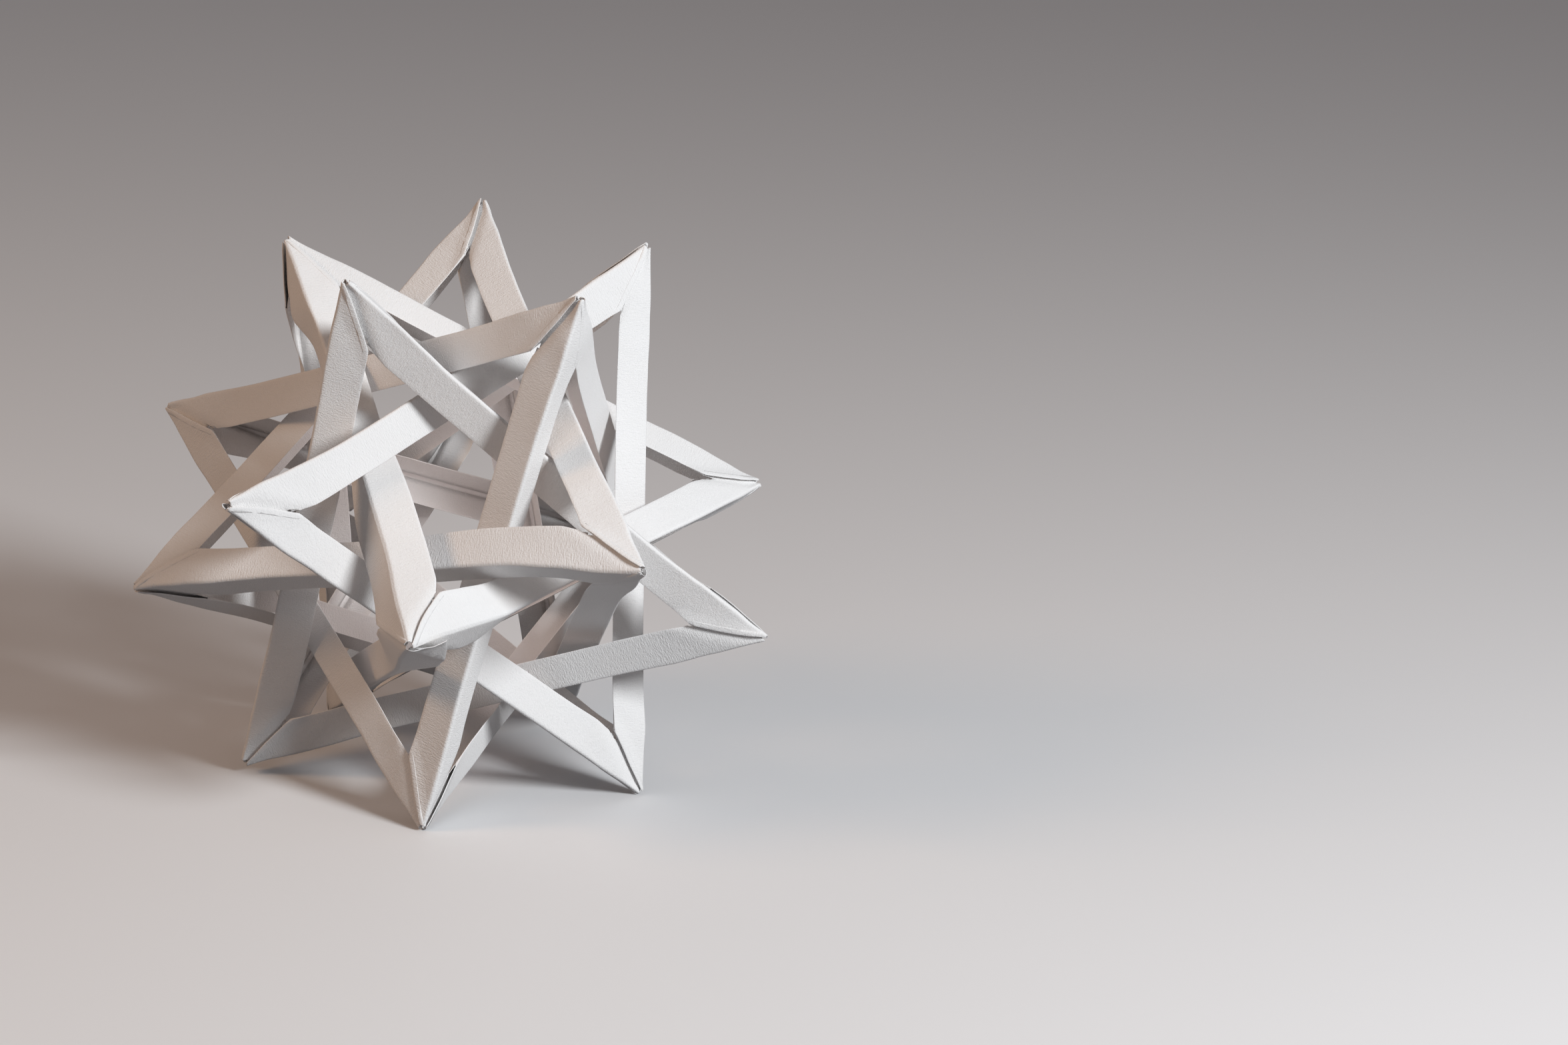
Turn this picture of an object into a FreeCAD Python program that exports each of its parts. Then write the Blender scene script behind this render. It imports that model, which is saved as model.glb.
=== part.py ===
import FreeCAD, Part
import math
import os
import Sketcher

# A paper star of thirty folded strips. Six strips make the edges of one
# four-pointed frame, and five such frames pass through each other's faces,
# so that their twenty tips stand out evenly all round. The star rests on
# three of its tips. Millimetres and degrees, Z up, floor at Z = 0.

os.makedirs("parts", exist_ok=True)
doc = FreeCAD.newDocument("paper_star")

# Driving sizes
SIZES = {
    "strip_length": 150.0,
    "paper_thickness": 0.15,
    "pocket_clearance": 0.05,
    "mitre_gap": 0.1,
    "raw_edge_gap": 0.1,
    "ramp_length": 1.2,
    "frame_gap": 1.05,
}

# How each frame has settled off true inside the others, read from the
# photograph: how far it has turned about X, Y and Z, and how far it slipped
SETTLED = {
    "front": {"turn": (-1.0, -0.4, -0.3), "slip": (-0.4, -0.1, -0.1)},
    "right": {"turn": (-0.3, -2.1, 0.9), "slip": (-0.2, -0.4, 0.2)},
    "back": {"turn": (2.4, -0.6, 0.0), "slip": (0.4, -0.1, 0.0)},
    "left": {"turn": (-1.2, 1.7, -0.6), "slip": (-0.2, 0.0, -0.1)},
    "low": {"turn": (0.1, 1.4, 0.0), "slip": (0.4, 0.6, 0.1)},
}

# Three tips carry the star, each the lowest of its frame
STANDING_FRAMES = ("front", "right", "left")

sizes = doc.addObject("Spreadsheet::Sheet", "sizes")
worked = doc.addObject("Spreadsheet::Sheet", "worked")


def fill_sheet(sheet, entries):
    """Write one named cell per entry, with its name beside it."""
    for row, (name, content) in enumerate(entries.items(), start=1):
        sheet.set(f"A{row}", name)
        sheet.set(f"B{row}", str(content))
        sheet.setAlias(f"B{row}", name)
    doc.recompute()


settled_cells = {}
for frame_name, moves in SETTLED.items():
    for kind, values in moves.items():
        for axis_name, value in zip("xyz", values):
            settled_cells[f"{frame_name}_{kind}_{axis_name}"] = value
fill_sheet(sizes, {**SIZES, **settled_cells})

# The frames of an even star touch where a flange is a twelfth of the strip,
# and a flange gives up 1.3 mm of width for each millimetre between frames
FLANGES_ALONG_STRIP = 12
WIDTH_PER_GAP = 1.3

# Sizes that follow from the driving ones.
# A flange is two layers of its own with room for the two layers of a tab.
# Depths are measured inwards from the outer face, and reaches from the spine.
fill_sheet(worked, {
    "layer": "=sizes.paper_thickness",
    "stack": "=4 * layer + 2 * sizes.pocket_clearance",
    "touching_width": f"=sizes.strip_length / {FLANGES_ALONG_STRIP}",
    "flange_width": f"=touching_width - {WIDTH_PER_GAP} * (stack + sizes.frame_gap)",
    "inner_layer": "=stack - layer",
    "fold_wall": "=flange_width - layer",
    "spine_inside": "=layer * sqrt(2)",
    "raw_edge": "=stack * sqrt(2) + sizes.raw_edge_gap",
    "overrun": "=stack",
    "past_flange": "=flange_width + overrun",
    "past_tip": "=sizes.strip_length / 2 + overrun",
    "mitre_foot": "=overrun + 2 * sizes.mitre_gap",
    "mitre_top": "=mitre_foot + past_flange * sqrt(3)",
    "ramp_foot": "=overrun + raw_edge * sqrt(3) + 2 * sizes.ramp_length",
    "ramp_top": "=ramp_foot + (past_flange - raw_edge) * sqrt(3)",
    "ramp_room": "=2 * (stack + sizes.pocket_clearance)",
    "ramp_start": "=sizes.strip_length / 2 - 2 * sizes.ramp_length",
    "ramp_near": "=2 * raw_edge",
    "ramp_far": "=2 * flange_width",
    "tab_top": "=layer + sizes.pocket_clearance",
    "tab_under": "=tab_top + 2 * layer",
    "tab_reach": "=fold_wall - 2 * sizes.pocket_clearance",
    "tab_root": "=overrun + raw_edge * sqrt(3)",
    "tab_root_lap": "=tab_root + sizes.ramp_length / 2",
    "tab_knee": "=overrun + tab_reach * sqrt(3)",
    "tab_knee_lap": "=tab_knee + sizes.ramp_length / 2",
    "tab_outer": "=overrun + (2 * tab_reach + flange_width) / sqrt(3)",
    "tab_inner": "=overrun + (2 * raw_edge + flange_width) / sqrt(3)",
})

# Two faces of a regular four-pointed frame meet along an edge at 70.5
# degrees, so each flange leans half of that from the strip's middle plane
HALF_FOLD = math.degrees(math.asin(1 / math.sqrt(3)))
ALONG = FreeCAD.Vector(1, 0, 0)
INWARD = FreeCAD.Vector(0, math.sin(math.radians(HALF_FOLD)), -math.cos(math.radians(HALF_FOLD)))
OUTWARD = ALONG.cross(INWARD)
MITRE_ANGLE = 30.0

# Each frame stands a fifth of a turn round from the last, and its tips lie
# on four level rings, a whole number of tenths of a turn from the front
TENTH_TURN = 36.0


def origin_feature(body, role):
    """One of the body's own base planes or axes."""
    return next(item for item in body.Origin.OriginFeatures if item.Role == role)


def turned(first_axis, second_axis):
    """The rotation that lays X and Y along two given directions."""
    return FreeCAD.Rotation(first_axis, second_axis, first_axis.cross(second_axis), "XYZ")


def outline(body, name, axes, origin, corners):
    """A closed outline whose corners are named distances along two axes."""
    sketch = body.newObject("Sketcher::SketchObject", name)
    sketch.AttachmentSupport = [(origin_feature(body, "XY_Plane"), "")]
    sketch.MapMode = "FlatFace"
    sketch.AttachmentOffset = FreeCAD.Placement(FreeCAD.Vector(), turned(*axes))
    for axis_name, place in zip("xyz", origin):
        if place:
            sketch.setExpression(f"AttachmentOffset.Base.{axis_name}", place)
    spots = [
        FreeCAD.Vector(*(getattr(worked, side) if side else 0.0 for side in corner), 0)
        for corner in corners
    ]
    for start, end in zip(spots, spots[1:] + spots[:1]):
        sketch.addGeometry(Part.LineSegment(start, end))
    count = len(corners)
    for index in range(count):
        sketch.addConstraint(Sketcher.Constraint("Coincident", index, 2, (index + 1) % count, 1))
    for index, (first, second) in enumerate(corners):
        for kind, axis_id, side, start in (
            ("DistanceX", -2, first, spots[index].x),
            ("DistanceY", -1, second, spots[index].y),
        ):
            if side:
                spot = sketch.addConstraint(Sketcher.Constraint(kind, -1, 1, index, 1, start))
                sketch.setExpression(f"Constraints[{spot}]", f"worked.{side}")
            else:
                sketch.addConstraint(Sketcher.Constraint("PointOnObject", index, 1, axis_id))
    return sketch


def cut(body, name, sketch, length):
    """Take the outline out to both sides of its plane."""
    pocket = body.newObject("PartDesign::Pocket", name)
    pocket.Profile = sketch
    pocket.SideType = "Symmetric"
    pocket.setExpression("Length", length)
    return pocket


def folded_strip():
    """
    One strip of paper: both long edges folded in to the middle, then the
    strip folded in half along its spine into a V of two double flanges.
    At each end one flange is a pocket and the other narrows to a tab.
    """
    body = doc.addObject("PartDesign::Body", "folded_strip")
    tip_out = "worked.past_tip"
    slope = math.radians(MITRE_ANGLE)
    along_mitre = ALONG * -math.cos(slope) + INWARD * math.sin(slope)
    depth_y = -OUTWARD.y
    depth_z = -OUTWARD.z

    # Outer layer, fold at the free edge, inner layer back to the raw edge
    section = outline(body, "flange_section", (INWARD, -OUTWARD), ("", "", ""), [
        ("", ""),
        ("flange_width", ""),
        ("flange_width", "stack"),
        ("raw_edge", "stack"),
        ("raw_edge", "inner_layer"),
        ("fold_wall", "inner_layer"),
        ("fold_wall", "layer"),
        ("spine_inside", "layer"),
    ])
    flange = body.newObject("PartDesign::Pad", "flange")
    flange.Profile = section
    flange.SideType = "Symmetric"
    flange.setExpression("Length", "sizes.strip_length")
    both = body.newObject("PartDesign::Mirrored", "both_flanges")
    both.Originals = [flange]
    both.MirrorPlane = (origin_feature(body, "XZ_Plane"), [""])
    body.Tip = both
    doc.recompute()

    # Both ends stop on the line that halves the corner of the face
    mitre = [("", ""), ("mitre_foot", ""), ("mitre_top", "past_flange"), ("", "past_flange")]
    mitre_depth = "4 * worked.flange_width"
    pocket_end = outline(body, "pocket_end", (ALONG, INWARD), (f"-{tip_out}", "", ""), mitre)
    pocket_mitre = cut(body, "pocket_mitre", pocket_end, mitre_depth)
    tab_end = outline(body, "tab_end", (-ALONG, INWARD), (tip_out, "", ""), mitre)
    tab_mitre = cut(body, "tab_mitre", tab_end, mitre_depth)

    # The tab's layers close up before the corner line, to slip under
    room = outline(body, "ramp_outline", (-ALONG, INWARD), (tip_out, "", ""), [
        ("", "raw_edge"),
        ("ramp_foot", "raw_edge"),
        ("ramp_top", "past_flange"),
        ("", "past_flange"),
    ])
    ramp_room = cut(body, "ramp_room", room, "worked.ramp_room")
    thick = outline(body, "ramp_thick_end", (along_mitre, -OUTWARD), ("worked.ramp_start", "", ""), [
        ("ramp_near", ""),
        ("ramp_far", ""),
        ("ramp_far", "stack"),
        ("ramp_near", "stack"),
    ])
    thin = outline(body, "ramp_thin_end", (along_mitre, -OUTWARD), ("sizes.strip_length / 2", "", ""), [
        ("ramp_near", "tab_top"),
        ("ramp_far", "tab_top"),
        ("ramp_far", "tab_under"),
        ("ramp_near", "tab_under"),
    ])
    ramp = body.newObject("PartDesign::AdditiveLoft", "ramp")
    ramp.Profile = thick
    ramp.Sections = [thin]
    ramp.Ruled = True

    # The tab fills the neighbour's pocket as far as its fold and its spine
    tab_place = (tip_out, f"{depth_y} * worked.tab_top", f"{depth_z} * worked.tab_top")
    tab_outline = outline(body, "tab_outline", (-ALONG, INWARD), tab_place, [
        ("tab_root", "raw_edge"),
        ("tab_root_lap", "raw_edge"),
        ("tab_knee_lap", "tab_reach"),
        ("tab_knee", "tab_reach"),
        ("tab_outer", "flange_width"),
        ("tab_inner", "flange_width"),
    ])
    tab = body.newObject("PartDesign::Pad", "tab")
    tab.Profile = tab_outline
    tab.setExpression("Length", "2 * sizes.paper_thickness")

    # The other flange is the same, turned half round about the middle
    ends = body.newObject("PartDesign::PolarPattern", "all_ends")
    ends.Originals = [pocket_mitre, tab_mitre, ramp_room, ramp, tab]
    ends.Axis = (origin_feature(body, "Z_Axis"), [""])
    ends.Angle = 360
    ends.Occurrences = 2
    body.Tip = ends
    doc.recompute()
    return body


def even_tips():
    """The four tips of the front frame in an even star about the origin."""
    golden = (1 + math.sqrt(5)) / 2
    reach = sizes.strip_length * math.sqrt(6) / 4
    spacing = 2 * reach / (math.sqrt(3) * golden)
    end_ring = spacing / (2 * math.sin(math.radians(TENTH_TURN)))
    waist_ring = end_ring * golden
    end_height = math.sqrt(reach ** 2 - end_ring ** 2)
    waist_height = math.sqrt(reach ** 2 - waist_ring ** 2)
    rings = (
        (end_ring, 1, end_height),
        (waist_ring, -3, waist_height),
        (end_ring, 0, -end_height),
        (waist_ring, 4, -waist_height),
    )
    tips = []
    for ring, tenths, height in rings:
        side = math.radians(tenths * TENTH_TURN)
        tips.append(FreeCAD.Vector(ring * math.sin(side), -ring * math.cos(side), height))
    return tips


def settled_tips(name, turns):
    """One frame's tips, in its own fifth of the star and settled off true."""
    fifth = FreeCAD.Rotation(FreeCAD.Vector(0, 0, 1), 2 * TENTH_TURN * turns)
    lean = FreeCAD.Vector(*(getattr(sizes, f"{name}_turn_{axis_name}") for axis_name in "xyz"))
    slip = FreeCAD.Vector(*(getattr(sizes, f"{name}_slip_{axis_name}") for axis_name in "xyz"))
    settle = FreeCAD.Rotation(lean, lean.Length)
    return [settle.multVec(fifth.multVec(tip)) + slip for tip in even_tips()]


def stand_level(frames):
    """Turn the whole star so that its three standing tips are level."""
    feet = [min(frames[name], key=lambda tip: tip.z) for name in STANDING_FRAMES]
    floor_normal = (feet[1] - feet[0]).cross(feet[2] - feet[0])
    if floor_normal.z < 0:
        floor_normal = -floor_normal
    level = FreeCAD.Rotation(floor_normal, FreeCAD.Vector(0, 0, 1))
    return {name: [level.multVec(tip) for tip in tips] for name, tips in frames.items()}


def edge_placement(start, end, middle):
    """Lay a strip's spine from tip to tip, with its V opening to the middle."""
    centre = (start + end) * 0.5
    along = (end - start).normalize()
    away = (centre - middle).normalize()
    return FreeCAD.Placement(centre, turned(along, away.cross(along)))


strip = folded_strip()
frames = {name: settled_tips(name, turns) for turns, name in enumerate(SETTLED)}
frames = stand_level(frames)

pieces = []
for name, tips in frames.items():
    middle = sum(tips[1:], tips[0]) * 0.25
    edges = [(first, second) for first in range(4) for second in range(first + 1, 4)]
    for number, (first, second) in enumerate(edges, start=1):
        piece = doc.addObject("Part::Compound", f"{name}_frame_strip_{number}")
        piece.Label = f"{name}_frame_strip_{number}"
        piece.Links = [strip]
        piece.Placement = edge_placement(tips[first], tips[second], middle)
        pieces.append(piece)
doc.recompute()

# The origin is on the floor, under the middle of the star's outline
around = FreeCAD.BoundBox()
for piece in pieces:
    around.add(piece.Shape.BoundBox)
origin_shift = FreeCAD.Vector(-around.Center.x, -around.Center.y, -around.ZMin)
for piece in pieces:
    piece.Placement = FreeCAD.Placement(origin_shift, FreeCAD.Rotation()).multiply(piece.Placement)
doc.recompute()

for item in doc.Objects:
    if {"Invalid", "Error"} & set(item.State):
        raise RuntimeError(f"{item.Label} did not build: {item.State}")
for piece in pieces:
    if piece.Shape.isNull() or not piece.Shape.isValid():
        raise RuntimeError(f"{piece.Label} is not a valid solid")
    piece.Shape.exportStep(f"parts/{piece.Label}.step")

print("strips:", len(pieces), "flange width:", worked.flange_width)
print("strip volume:", strip.Shape.Volume, "solids:", len(strip.Shape.Solids))
print("outline:", around.XLength, around.YLength, around.ZLength)
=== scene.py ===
# %% [markdown]
# A star of folded paper strips. The solids already say where each strip is and
# how big it is. This lesson dresses them: every strip is folded again here from
# one flat sheet, the way the real one is, so that its layers, rolled edges and
# tucked tabs are real geometry.

import math
import random

import bmesh
import bpy
from mathutils import Euler, Matrix, Vector, noise


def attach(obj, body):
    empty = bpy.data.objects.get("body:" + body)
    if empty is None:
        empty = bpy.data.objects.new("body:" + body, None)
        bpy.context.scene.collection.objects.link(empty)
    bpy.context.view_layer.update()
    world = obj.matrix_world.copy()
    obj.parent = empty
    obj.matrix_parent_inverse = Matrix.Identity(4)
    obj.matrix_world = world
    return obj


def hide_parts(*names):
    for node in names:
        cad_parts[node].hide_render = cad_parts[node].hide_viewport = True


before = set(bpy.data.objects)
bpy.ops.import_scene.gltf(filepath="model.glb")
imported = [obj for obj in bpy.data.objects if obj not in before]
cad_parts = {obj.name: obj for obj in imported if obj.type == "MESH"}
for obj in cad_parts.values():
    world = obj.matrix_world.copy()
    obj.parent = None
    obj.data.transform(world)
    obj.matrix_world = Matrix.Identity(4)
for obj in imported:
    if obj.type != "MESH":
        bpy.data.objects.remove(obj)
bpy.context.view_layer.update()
print("solids:", len(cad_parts))

# %% [markdown]
# The sizes of one strip, in millimetres. A flat sheet is folded in four along
# its length, so it is four flanges wide. Each free edge is a soft roll and not
# a sharp line, because thick paper won't fold flat. The raw edges stop short of
# the spine, and each end is cut blunt by an amount between the two of BLUNT.

# %% Sizes of a strip
MM = 0.001
STRIP_LENGTH = 150.0
FLANGE = 10.2
PAPER = 0.15
LAYER_STEP = 0.28
EDGE_ROLL = math.pi * LAYER_STEP / 2
SPINE_ROLL = 1.5
RAW_EDGE = 1.1
BLUNT = (0.9, 2.3)
HALF = STRIP_LENGTH / 2
HALF_FOLD = math.asin(1 / math.sqrt(3))
INNER_FOOT = 2 * FLANGE + EDGE_ROLL
SHEET_HALF_WIDTH = INNER_FOOT - RAW_EDGE
print("sheet:", STRIP_LENGTH, "by", round(2 * SHEET_HALF_WIDTH, 1), "mm")


# %% [markdown]
# A fold is a turn of everything beyond a crease line. One turn gives a knife
# edge, so a soft fold takes several small turns at lines set close together.
# The points beyond each line are listed while the sheet is still flat, and the
# lines are turned from the outermost in.

# %% Crease and fold
def everything(bm):
    return bm.verts[:] + bm.edges[:] + bm.faces[:]


def part_of(bm, test):
    """The faces whose middle passes a test, with their edges and corners."""
    faces = [face for face in bm.faces if test(face.calc_center_median())]
    edges = {edge for face in faces for edge in face.edges}
    verts = {vert for face in faces for vert in face.verts}
    return list(verts) + list(edges) + faces


def crease(bm, geom, point, normal, clear=False):
    bmesh.ops.bisect_plane(bm, geom=geom, dist=1e-6, plane_co=point, plane_no=normal,
                           clear_outer=clear)


def soft_fold(bm, start, width, angle, side, steps):
    """Roll the sheet beyond Y = side * start down through an angle."""
    lines = [start + width * (step + 0.5) / steps for step in range(steps)]
    beyond = [[v for v in bm.verts if side * v.co.y > line] for line in lines]
    for line, verts in reversed(list(zip(lines, beyond))):
        turn = Matrix.Rotation(-side * angle / steps, 3, "X")
        bmesh.ops.rotate(bm, verts=verts, cent=(0, side * line, 0), matrix=turn)


print("soft folds turn the sheet in small steps")


# %% [markdown]
# Both ends of a strip stop at the corner of a face, where two strips meet on a
# line 30 degrees from each. On one side the strip ends there as the mouth of a
# pocket, and on the other it runs on under the neighbour's mouth as a tab. A
# place on a flange is given by how far it is from the tip along the spine, and
# how far it reaches from the spine. A straight cut is a rule (a, b, c) on the
# two: it runs where along * a + reach * b equals c.
#
# Lines at set distances from the mouth are creased too, so that the paper near
# it has enough corners to bend smoothly. One pocket of the star was left with a
# square end, so the outer layer of SQUARE_POCKET can be kept whole.

# %% Cut the ends
MOUTH = (0.5, -math.cos(math.radians(30)), 0.0)
TAB_SIDE = (math.cos(math.radians(30)), -0.5, 0.9)
TAB_CORNER = (-math.cos(math.radians(30)), 0.5, -(FLANGE - 2.0))
TAB_ROOT = -0.4
MOUTH_CREASES = (6.0, 3.5, 2.0, 1.1, 0.5)
SQUARE_POCKET = (1, -1, False)
SQUARE_CREASES = (5.0, 3.4, 2.4)


def rule_plane(rule, end, side, inner):
    """The plane on the flat sheet where along*a + reach*b equals c."""
    a, b, c = rule
    reach_way = -side if inner else side
    foot = side * INNER_FOOT if inner else 0.0
    point = Vector((end * (HALF - c / a), foot, 0))
    return point, Vector((a * end, -b * reach_way, 0))


def flange_end(bm, end, side, inner, test=None):
    """One layer of one flange near one end, on the flat sheet."""
    middle = FLANGE + EDGE_ROLL / 2

    def here(centre):
        across = side * centre.y
        on_layer = across > middle if inner else 0 < across < middle
        near_end = end * centre.x > HALF / 2
        return on_layer and near_end and (test is None or test(centre))

    return part_of(bm, here)


def mouth_distance(x, y, inner=False):
    """How far a place on the sheet is from the mouth's line."""
    reach = INNER_FOOT - abs(y) if inner else abs(y)
    return MOUTH[0] * (HALF - abs(x)) + MOUTH[1] * reach


def cut_sheet(blunt, square):
    """The flat sheet with its crease lines, mouths, tabs and blunt ends cut.

    A square sheet keeps the straight end of one pocket's outer layer.
    """
    bm = bmesh.new()
    bmesh.ops.create_grid(bm, x_segments=64, y_segments=18, size=1.0)
    bmesh.ops.scale(bm, vec=(HALF, SHEET_HALF_WIDTH, 1), verts=bm.verts)
    for end, length in zip((-1, 1), blunt):
        crease(bm, everything(bm), (end * (HALF - length), 0, 0), (end, 0, 0), clear=True)
    lines = [0.0, SPINE_ROLL / 6, SPINE_ROLL / 3, SPINE_ROLL / 2, 1.4]
    lines += [FLANGE - 0.8, FLANGE]
    lines += [FLANGE + EDGE_ROLL * step / 5 for step in range(1, 6)]
    lines += [FLANGE + EDGE_ROLL + 0.8]
    for line in lines:
        for side in (1, -1):
            crease(bm, everything(bm), (0, side * line, 0), (0, 1, 0))
    for end in (1, -1):
        for side in (1, -1):
            for inner in (False, True):
                whole = square and (end, side, inner) == SQUARE_POCKET
                shape_end(bm, end, side, inner, whole)
    return bm


def shape_end(bm, end, side, inner, whole):
    """Cut one layer of one flange end as a pocket's mouth or as a tab."""
    pocket = end * side < 0
    for distance in MOUTH_CREASES:
        point, normal = rule_plane((MOUTH[0], MOUTH[1], distance), end, side, inner)
        crease(bm, flange_end(bm, end, side, inner), point, normal)
    if pocket and whole:
        for along in SQUARE_CREASES:
            point = (end * (HALF - along), 0, 0)
            crease(bm, flange_end(bm, end, side, inner), point, (1, 0, 0))
        return
    if pocket:
        point, normal = rule_plane(MOUTH, end, side, inner)
        crease(bm, flange_end(bm, end, side, inner), point, normal, clear=True)
        return
    root = (MOUTH[0], MOUTH[1], TAB_ROOT)
    point, normal = rule_plane(root, end, side, inner)
    crease(bm, flange_end(bm, end, side, inner), point, normal)
    point, normal = rule_plane(TAB_SIDE, end, side, inner)
    crease(bm, flange_end(bm, end, side, inner), point, normal, clear=True)

    def past_root(centre):
        return mouth_distance(centre.x, centre.y, inner) < TAB_ROOT

    point, normal = rule_plane(TAB_CORNER, end, side, inner)
    crease(bm, flange_end(bm, end, side, inner, past_root), point, normal, clear=True)


sheet = cut_sheet(BLUNT, False)
print("flat sheet:", len(sheet.faces), "faces")
sheet.free()


# %% [markdown]
# With its long edges rolled in, the strip is still flat. Now the tab's layers
# press down before the mouth, the pocket opens to take them, and the mouth's
# own edge lifts a little and turns under. That lifted edge over a dipping
# neighbour is the shadowed seam at each corner of the star.
#
# Where a corner was pulled wide by hand, its flanges swing out. The swing is an
# angle in degrees, held up to one distance from the tip and gone at another.
# Each flange swings by its own given angle; the two that meet at a corner mostly get the same one,
# so the seam stays shut.

# %% Seat the tabs and open the pockets
LIP_LIFT = 0.45
TAB_DIP = 0.75
TAB_PULL = 0.7
POCKET_DEPTH = 0.95
FLAP_LIFT = 1.6
TURN_UNDER = ((0.12, 0.05), (0.03, 0.12), (-0.12, 0.07), (-1.3, 0.03))


def ease(low, high, value):
    """0 below low, 1 above high, and smooth between."""
    share = min(1.0, max(0.0, (value - low) / (high - low)))
    return share * share * (3 - 2 * share)


def swing_out(bm, swings):
    """Swing the listed flanges outward near an end, each by its own angle."""
    for (end, side), (degrees, full, gone) in swings.items():
        for vert in bm.verts:
            x, y, z = vert.co
            if x * end > 0 and y * side > 0:
                along, reach = HALF - abs(x), abs(y)
                from_tip = TAB_SIDE[0] * along + TAB_SIDE[1] * reach
                span = min(reach, FLANGE, from_tip)
                share = math.tan(math.radians(degrees)) * (1 - ease(full, gone, along))
                vert.co.z += max(0.0, span) * share


def seat_ends(bm):
    """Press the tabs down and open the pockets that take them."""
    for vert in bm.verts:
        x, y, z = vert.co
        along, reach = HALF - abs(x), abs(y)
        seam = mouth_distance(x, y)
        if x * y < 0:
            if z > -LAYER_STEP / 2:
                lift = LIP_LIFT * (1 - ease(0, 3.5, seam)) * ease(0.3, 2.5, reach)
                lift += FLAP_LIFT * ease(0, 6.0, -seam)
                vert.co.z += lift
            else:
                room = (1 - ease(19, 34, along)) * (1 - ease(FLANGE - 2.2, FLANGE, reach))
                vert.co.z -= POCKET_DEPTH * room
        else:
            near = 1 - ease(-0.2, 3.2, seam)
            vert.co.z -= TAB_DIP * near * ease(0.3, 1.8, reach)
            pull = TAB_PULL * near * ease(FLANGE - 3, FLANGE, reach)
            vert.co.y -= math.copysign(pull, y)


def mouth_edges(bm, end, along):
    """The open edges of a pocket's outer layer that lie on a line."""
    return [
        edge for edge in bm.edges
        if edge.is_boundary and all(
            v.co.x * end > 0 and v.co.x * v.co.y < 0 and v.co.z > -LAYER_STEP / 2
            and abs(along(v.co)) < 1e-3 for v in edge.verts)
    ]


def turn_under(bm, edges, away):
    """Roll an open edge under: out, down and back in along its layer."""
    for out, down in TURN_UNDER:
        grown = bmesh.ops.extrude_edge_only(bm, edges=edges)["geom"]
        edges = [item for item in grown if isinstance(item, bmesh.types.BMEdge)]
        verts = [item for item in grown if isinstance(item, bmesh.types.BMVert)]
        bmesh.ops.translate(bm, verts=verts, vec=away * out + Vector((0, 0, -down)))


def turn_mouths_under(bm, blunt, square):
    """Roll each pocket's mouth under, and the square pocket's end too."""
    for end in (1, -1):
        edges = mouth_edges(bm, end, lambda place: mouth_distance(place.x, place.y))
        turn_under(bm, edges, Vector((end * MOUTH[0], end * MOUTH[1], 0)))
    if square:
        edges = mouth_edges(bm, 1, lambda place: place.x - HALF + blunt[1])
        turn_under(bm, edges, Vector((1, 0, 0)))


def folded_strip(blunt, square, swings):
    """One strip, folded along its edges and then along its spine.

    Every point keeps its place on the flat sheet, for the paper's pattern.
    """
    bm = cut_sheet(blunt, square)
    sheet_place = bm.verts.layers.float_vector.new("sheet_place")
    for vert in bm.verts:
        vert[sheet_place] = vert.co
    for side in (1, -1):
        soft_fold(bm, FLANGE, EDGE_ROLL, math.pi, side, 5)
    seat_ends(bm)
    turn_mouths_under(bm, blunt, square)
    swing_out(bm, swings)
    for side in (1, -1):
        soft_fold(bm, 0.0, SPINE_ROLL / 2, math.pi / 2 - HALF_FOLD, side, 3)
    bmesh.ops.recalc_face_normals(bm, faces=bm.faces)
    top = max(bm.faces, key=lambda face: face.calc_center_median().z)
    if top.normal.z < 0:
        bmesh.ops.reverse_faces(bm, faces=bm.faces)
    return bm


folded = folded_strip(BLUNT, False, {})
print("folded strip:", len(folded.faces), "faces")
folded.free()


# %% [markdown]
# Six strips make one frame with four tips. The tips of the real frames have
# wandered a few millimetres off true, so each frame's four tips are given, and
# one map carries a perfect frame onto them. The map is the same for all six
# strips, so tabs stay in their pockets. A strip's number is its pair of tips'
# place in EDGES, counted from 1.

# %% Where the strips lie
TIPS = {
    "front": [(33.0, -45.2, 145.4), (-85.6, 28.6, 91.7), (-2.8, -58.5, -0.1), (51.3, 69.6, 49.7)],
    "right": [(49.4, 19.3, 147.0), (-53.6, -75.7, 90.0), (55.4, -16.4, -0.1), (-52.3, 71.2, 53.0)],
    "back": [(-0.4, 53.8, 150.3), (53.6, -76.9, 84.5), (30.8, 46.9, 2.0), (-85.8, -25.3, 55.2)],
    "left": [(-50.1, 17.7, 145.5), (85.5, 28.7, 79.4), (-37.9, 44.5, -0.1), (-2.3, -89.6, 58.3)],
    "low": [(-29.1, -45.0, 146.3), (-2.7, 90.8, 86.9), (-55.1, -17.5, 2.6), (86.8, -27.2, 49.5)],
}
EDGES = [(0, 1), (0, 2), (0, 3), (1, 2), (1, 3), (2, 3)]


def side_matrix(tips):
    """The three sides that leave the first tip, as a matrix's columns."""
    first = Vector(tips[0])
    return Matrix([Vector(tip) - first for tip in tips[1:]]).transposed()


def true_tips(tips):
    """A perfect frame's tips about the origin, turned the same way round."""
    signs = ((1, 1, 1), (1, -1, -1), (-1, 1, -1), (-1, -1, 1))
    reach = STRIP_LENGTH / math.sqrt(8)
    corners = [Vector(sign) * reach for sign in signs]
    if side_matrix(tips).determinant() * side_matrix(corners).determinant() < 0:
        corners[2], corners[3] = corners[3], corners[2]
    return corners


def frame_map(tips):
    """The map that carries a perfect frame's tips onto these."""
    true = true_tips(tips)
    turn = side_matrix(tips) @ side_matrix(true).inverted()
    return Matrix.Translation(Vector(tips[0]) - turn @ true[0]) @ turn.to_4x4()


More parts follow.
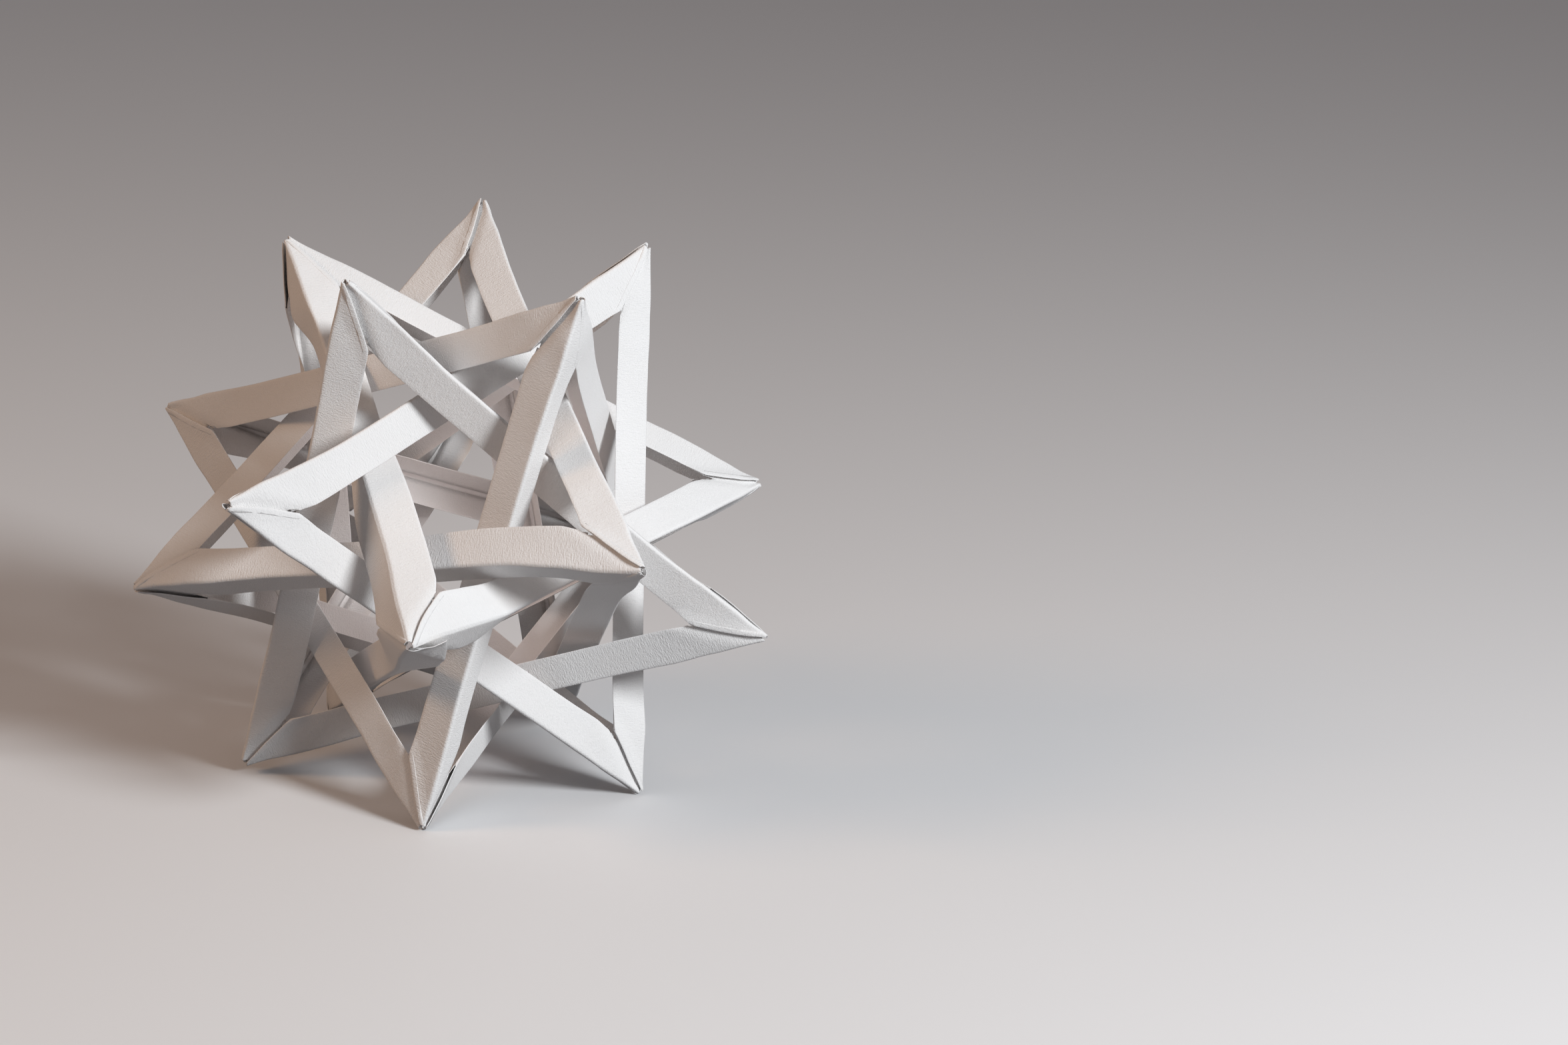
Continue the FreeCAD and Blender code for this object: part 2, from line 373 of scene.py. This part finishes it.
def edge_map(start, end):
    """Lay a strip's spine between two tips, with its V open to the origin."""
    centre = (start + end) / 2
    along = (end - start).normalized()
    away = centre.normalized()
    axes = Matrix((along, away.cross(along), away)).transposed()
    return Matrix.Translation(centre) @ axes.to_4x4()


print("frames:", len(TIPS), "strips in each:", len(EDGES))


# %% [markdown]
# No two folded strips are alike. Handled paper is a little dented and wavy, so
# every frame has its own drift of a few tenths of a millimetre. It is a pattern
# in space and not along each strip, so a tab drifts with its pocket, and it is
# weaker in the middle, where frames pass close by. Each strip also bows and
# twists slightly, and its ends stand out a little (SPLAY), which its neighbours
# at the tip do by other amounts. WANDER gives each wave's length, then its
# height in the middle of the star and outside it. The noise starts from a set
# seed, or else its pattern would follow the clock.

# %% Let the paper wander
MIDDLE = Vector((0, 0, 73.0))
WANDER = ((17.0, 0.08, 0.5), (6.0, 0.03, 0.2))
NOISE_SEED = 4
FRAME_STEP = 57.0
BOW = 0.06
TWIST = 0.4
SPLAY = (0.3, 0.9)
noise.seed_set(NOISE_SEED)


def drift(bm, number):
    """Dent and bend a strip in its place, with the pattern of its frame."""
    offset = Vector((0, 0, number * FRAME_STEP))
    for vert in bm.verts:
        outside = ease(58, 80, (vert.co - MIDDLE).length)
        move = Vector()
        for length, low, high in WANDER:
            amount = low + (high - low) * outside
            move += noise.noise_vector(vert.co / length + offset) * amount
        vert.co += move


def bow(bm, rng):
    """Give one strip a slight bow and twist that die out before its ends."""
    sway, rise = rng.uniform(-BOW, BOW), rng.uniform(-BOW, BOW)
    twist = math.radians(rng.uniform(-TWIST, TWIST))
    splay = {1: rng.uniform(*SPLAY), -1: rng.uniform(*SPLAY)}
    for vert in bm.verts:
        x, y, z = vert.co
        free = 1 - ease(0.45 * HALF, 0.8 * HALF, abs(x))
        arch = math.cos(math.pi * x / STRIP_LENGTH)
        move = Vector((0, sway, rise)) * arch
        move += Vector((0, -z, y)) * twist * x / HALF
        vert.co += move * free
        end = 1 if x > 0 else -1
        vert.co.z += splay[end] * (1 - ease(0, 9, HALF - abs(x)))


print("waves:", [length for length, _, _ in WANDER], "mm long")


# %% [markdown]
# The doubled paper makes each tip swell behind its point. Some tips are also
# bent aside, by the millimetres right and up that BENT_TIPS lists in the order
# of TIPS, and straighten within 33 mm. In three places strips of two frames
# press on each other. CROSSINGS gives the place, each frame's share, and the
# way they part.

# %% Bend the tips and part the crossings
SWELL = 0.7
BENT_TIPS = {
    "front": [(1.5, 1.4), (0.0, 0.6), (0.5, -0.2), (0.0, 0.0)],
    "right": [(0.0, 1.5), (-1.9, 2.3), (0.5, 0.0), (0.0, 0.0)],
    "back": [(0.6, 1.7), (1.7, -3.2), (0.0, 0.0), (-1.0, -1.3)],
    "left": [(-1.7, 0.0), (-1.0, 0.0), (0.0, 0.0), (-2.3, 2.3)],
    "low": [(0.0, 1.7), (0.0, 0.0), (-0.6, -0.4), (1.7, 0.4)],
}
CROSSINGS = [
    ((-19.0, 22.0, 120.0), {"left": 0.5, "back": -0.5}, (0.0, -0.9, 0.0)),
    ((0.0, 30.0, 27.0), {"left": 0.5, "back": -0.5}, (0.0, 0.5, 0.5)),
    ((15.0, -53.0, 70.0), {"left": 0.5, "back": -0.5}, (0.0, 0.0, -0.9)),
]


def bend_tips(bm, tips, bends):
    """Swell a frame's strips behind each tip and bend the tip aside."""
    centre = sum((Vector(tip) for tip in tips), Vector()) / len(tips)
    for tip, (right, up) in zip(tips, bends):
        tip = Vector(tip)
        axis = (centre - tip).normalized()
        for vert in bm.verts:
            back = (vert.co - tip).dot(axis)
            if back < 40:
                out = vert.co - tip - axis * back
                swell = SWELL * ease(1, 13, back) * (1 - ease(14, 38, back))
                vert.co += out.normalized() * swell
                vert.co += Vector((right, 0, up)) * (1 - ease(0, 33, back))


def part_crossings(bm, frame_name):
    """Press two frames apart by a fraction of a millimetre where they touch."""
    for place, share, away in CROSSINGS:
        for vert in bm.verts:
            near = 1 - ease(4, 26, (vert.co - Vector(place)).length)
            vert.co += Vector(away) * share.get(frame_name, 0.0) * near


print("crossings parted:", len(CROSSINGS))


# %% [markdown]
# Now all thirty strips are folded and carried to their places. Each draws its
# own small differences from its own seed, so the star is the same every time.
# OPENED lists the strips whose corners were pulled wide: for the end (1 or -1
# along the spine) and the side (1 or -1 across it) of a flange it gives the
# swing in degrees, then the distances from the tip where it starts to fade and
# where it is gone.

# %% Fold all thirty strips
STRIP_INSET = 0.2
SHEET_STEP = 31.0
SQUARE_STRIP = ("left", 6)
OPENED = {
    ("left", 2): {(-1, 1): (16, 24, 45)},
    ("left", 3): {
        (1, 1): (20, 50, 90), (1, -1): (20, 46, 80), (-1, -1): (16, 20, 34)},
    ("left", 5): {(1, -1): (20, 22, 45), (1, 1): (15, 24, 50)},
    ("left", 6): {(1, 1): (20, 28, 50), (1, -1): (21, 30, 70)},
    ("back", 1): {(1, -1): (14, 26, 50)},
    ("back", 5): {(-1, -1): (14, 40, 80)},
}


def dressed_strip(name, matrix, seed, frame_name, square, swings):
    """One strip as an object, in metres and in its place."""
    rng = random.Random(seed)
    blunt = (rng.uniform(*BLUNT), rng.uniform(*BLUNT))
    bm = folded_strip(blunt, square, swings)
    sheet_place = bm.verts.layers.float_vector["sheet_place"]
    for vert in bm.verts:
        vert[sheet_place] += Vector((0, 0, SHEET_STEP * seed))
    bow(bm, rng)
    inset = Matrix.Translation((0, 0, -STRIP_INSET))
    bmesh.ops.transform(bm, matrix=matrix @ inset, verts=bm.verts)
    bend_tips(bm, TIPS[frame_name], BENT_TIPS[frame_name])
    part_crossings(bm, frame_name)
    drift(bm, list(TIPS).index(frame_name))
    bmesh.ops.scale(bm, vec=(MM, MM, MM), verts=bm.verts)
    mesh = bpy.data.meshes.new(name)
    bm.to_mesh(mesh)
    bm.free()
    mesh.shade_smooth()
    strip = bpy.data.objects.new(name, mesh)
    bpy.context.scene.collection.objects.link(strip)
    solid = strip.modifiers.new("paper_thickness", "SOLIDIFY")
    solid.thickness = PAPER * MM
    solid.offset = -1
    return strip


strips = []
for frame_name, tips in TIPS.items():
    whole = frame_map(tips)
    corners = true_tips(tips)
    for number, (first, second) in enumerate(EDGES, start=1):
        place = whole @ edge_map(corners[first], corners[second])
        square = (frame_name, number) == SQUARE_STRIP
        name = f"{frame_name}_strip_{number}"
        swings = OPENED.get((frame_name, number), {})
        strip = dressed_strip(name, place, len(strips), frame_name, square, swings)
        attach(strip, "root")
        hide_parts(f"{frame_name}_frame_strip_{number}")
        strips.append(strip)
print("strips:", len(strips))


# %% [markdown]
# The paper is uncoated white with a felt-like tooth. Its surface is a fine bump:
# soft cells under short fibres that lie across the strip, because the sheet's
# grain runs that way. Both read the place on the flat sheet, in millimetres,
# that every point carried along while it was folded. The white drifts slightly.

# %% The paper
def new_group(name, inputs, outputs):
    """A group of shader nodes with number sockets, and its two ends."""
    group = bpy.data.node_groups.new(name, "ShaderNodeTree")
    kind = "NodeSocketFloat"
    for socket, value in inputs:
        made = group.interface.new_socket(socket, in_out="INPUT", socket_type=kind)
        made.default_value = value
    for socket in outputs:
        group.interface.new_socket(socket, in_out="OUTPUT", socket_type=kind)
    start = group.nodes.new("NodeGroupInput")
    finish = group.nodes.new("NodeGroupOutput")
    return group, start, finish


def add(tree, kind, **settings):
    """A node with its settings: its own properties, or else its inputs."""
    node = tree.nodes.new(kind)
    for key, value in settings.items():
        if hasattr(node, key):
            setattr(node, key, value)
        else:
            node.inputs[key.replace("_", " ")].default_value = value
    return node


def felt_tooth():
    """Height of the paper's felt surface, from the place on the sheet."""
    inputs = [("Cells", 2.4), ("Fibres", 3.2)]
    group, start, finish = new_group("felt_tooth", inputs, ["Height", "Tone"])
    place = add(group, "ShaderNodeAttribute", attribute_name="sheet_place")
    cells = add(group, "ShaderNodeTexNoise", Detail=4.0, Roughness=0.6)
    group.links.new(start.outputs["Cells"], cells.inputs["Scale"])
    group.links.new(place.outputs["Vector"], cells.inputs["Vector"])
    total = cells.outputs["Fac"]
    for turn, weight in ((0.25, 0.9), (-0.5, 0.6)):
        lay = add(group, "ShaderNodeMapping")
        lay.inputs["Rotation"].default_value = (0, 0, turn)
        lay.inputs["Scale"].default_value = (1, 0.2, 1)
        group.links.new(place.outputs["Vector"], lay.inputs["Vector"])
        fibre = add(group, "ShaderNodeTexNoise", Detail=3.0, Roughness=0.55)
        group.links.new(start.outputs["Fibres"], fibre.inputs["Scale"])
        group.links.new(lay.outputs["Vector"], fibre.inputs["Vector"])
        mix = add(group, "ShaderNodeMath", operation="MULTIPLY_ADD")
        mix.inputs[1].default_value = weight
        group.links.new(fibre.outputs["Fac"], mix.inputs[0])
        group.links.new(total, mix.inputs[2])
        total = mix.outputs[0]
    group.links.new(total, finish.inputs["Height"])
    drifting = add(group, "ShaderNodeTexNoise", Scale=0.07, Detail=3.0)
    group.links.new(place.outputs["Vector"], drifting.inputs["Vector"])
    group.links.new(drifting.outputs["Fac"], finish.inputs["Tone"])
    return group


def white_paper():
    """Matt white paper with the felt's bump and a slight drift of tone."""
    material = bpy.data.materials.new("felt_white_paper")
    material.use_nodes = True
    tree = material.node_tree
    shader = tree.nodes["Principled BSDF"]
    shader.inputs["Roughness"].default_value = 0.9
    shader.inputs["Specular IOR Level"].default_value = 0.2
    tooth = tree.nodes.new("ShaderNodeGroup")
    tooth.node_tree = felt_tooth()
    bump = add(tree, "ShaderNodeBump", Strength=1.0, Distance=0.00015)
    tree.links.new(tooth.outputs["Height"], bump.inputs["Height"])
    tree.links.new(bump.outputs["Normal"], shader.inputs["Normal"])
    tone = add(tree, "ShaderNodeMix", data_type="RGBA")
    tone.inputs["A"].default_value = (0.90, 0.88, 0.87, 1)
    tone.inputs["B"].default_value = (0.93, 0.92, 0.915, 1)
    tree.links.new(tooth.outputs["Tone"], tone.inputs["Factor"])
    tree.links.new(tone.outputs["Result"], shader.inputs["Base Color"])
    return material


paper = white_paper()
for strip in strips:
    strip.data.materials.append(paper)
print("material:", paper.name)

# %% [markdown]
# The star stands on a plain pale floor, lit by a large soft lamp on the right,
# a weaker warm one on the left, and an even pale sky. The camera sees the floor
# pale, but light that bounces off it meets a darker one, so that the star is
# not washed out from below. A very weak lamp in the heart of the star stands in
# for light that soaks through thin paper.

# %% Floor, lamps and sky
floor_mesh = bpy.data.meshes.new("floor")
bm = bmesh.new()
bmesh.ops.create_grid(bm, x_segments=1, y_segments=1, size=6.0)
bm.to_mesh(floor_mesh)
bm.free()
floor = bpy.data.objects.new("floor", floor_mesh)
bpy.context.scene.collection.objects.link(floor)
pale = bpy.data.materials.new("pale_floor")
pale.use_nodes = True
pale_shader = pale.node_tree.nodes["Principled BSDF"]
pale_shader.inputs["Roughness"].default_value = 0.6
seen = add(pale.node_tree, "ShaderNodeLightPath")
shade = add(pale.node_tree, "ShaderNodeMix", data_type="RGBA")
shade.inputs["A"].default_value = (0.20, 0.20, 0.21, 1)
shade.inputs["B"].default_value = (0.88, 0.88, 0.89, 1)
pale.node_tree.links.new(seen.outputs["Is Camera Ray"], shade.inputs["Factor"])
pale.node_tree.links.new(shade.outputs["Result"], pale_shader.inputs["Base Color"])
floor_mesh.materials.append(pale)


def put_lamp(name, kind, place, power, colour):
    """A lamp in its place, in metres and watts."""
    lamp = bpy.data.lights.new(name, kind)
    lamp.energy = power
    lamp.color = colour
    held = bpy.data.objects.new(name, lamp)
    held.location = place
    bpy.context.scene.collection.objects.link(held)
    return held


def soft_lamp(name, place, size, power, colour):
    """A round soft box that faces the middle of the star."""
    held = put_lamp(name, "AREA", place, power, colour)
    held.data.shape = "DISK"
    held.data.size = size
    back = Vector(place) - MIDDLE * MM
    held.rotation_euler = back.to_track_quat("Z", "Y").to_euler()


def heart_lamp(power, radius, colour):
    """A weak round lamp in the middle of the star, out of sight."""
    held = put_lamp("heart_lamp", "POINT", MIDDLE * MM, power, colour)
    held.data.shadow_soft_size = radius
    held.visible_camera = False


soft_lamp("right_lamp", (0.95, -0.75, 0.78), 0.45, 16.5, (0.94, 0.975, 1.0))
soft_lamp("left_lamp", (-1.1, -0.42, 0.85), 0.5, 4.2, (1.0, 0.62, 0.36))
heart_lamp(0.02, 0.025, (1.0, 0.84, 0.80))
sky = bpy.data.worlds.new("sky")
bpy.context.scene.world = sky
sky.use_nodes = True
sky.node_tree.nodes["Background"].inputs["Color"].default_value = (1.0, 0.93, 0.94, 1)
sky.node_tree.nodes["Background"].inputs["Strength"].default_value = 0.15
bpy.context.scene.view_settings.view_transform = "Standard"
print("lamps and sky ready")

# %% [markdown]
# The camera looks down a little on the star through a long lens, as in the
# picture.

# %% Camera
camera_data = bpy.data.cameras.new("camera")
camera_data.lens = 107.2
camera = bpy.data.objects.new("camera", camera_data)
camera.location = (0.08747, -1.24811, 0.41024)
turns = [math.radians(angle) for angle in (74.981, -3.120, 0.691)]
camera.rotation_euler = Euler(turns)
bpy.context.scene.collection.objects.link(camera)
bpy.context.scene.camera = camera
print("camera:", camera_data.lens, "mm lens")
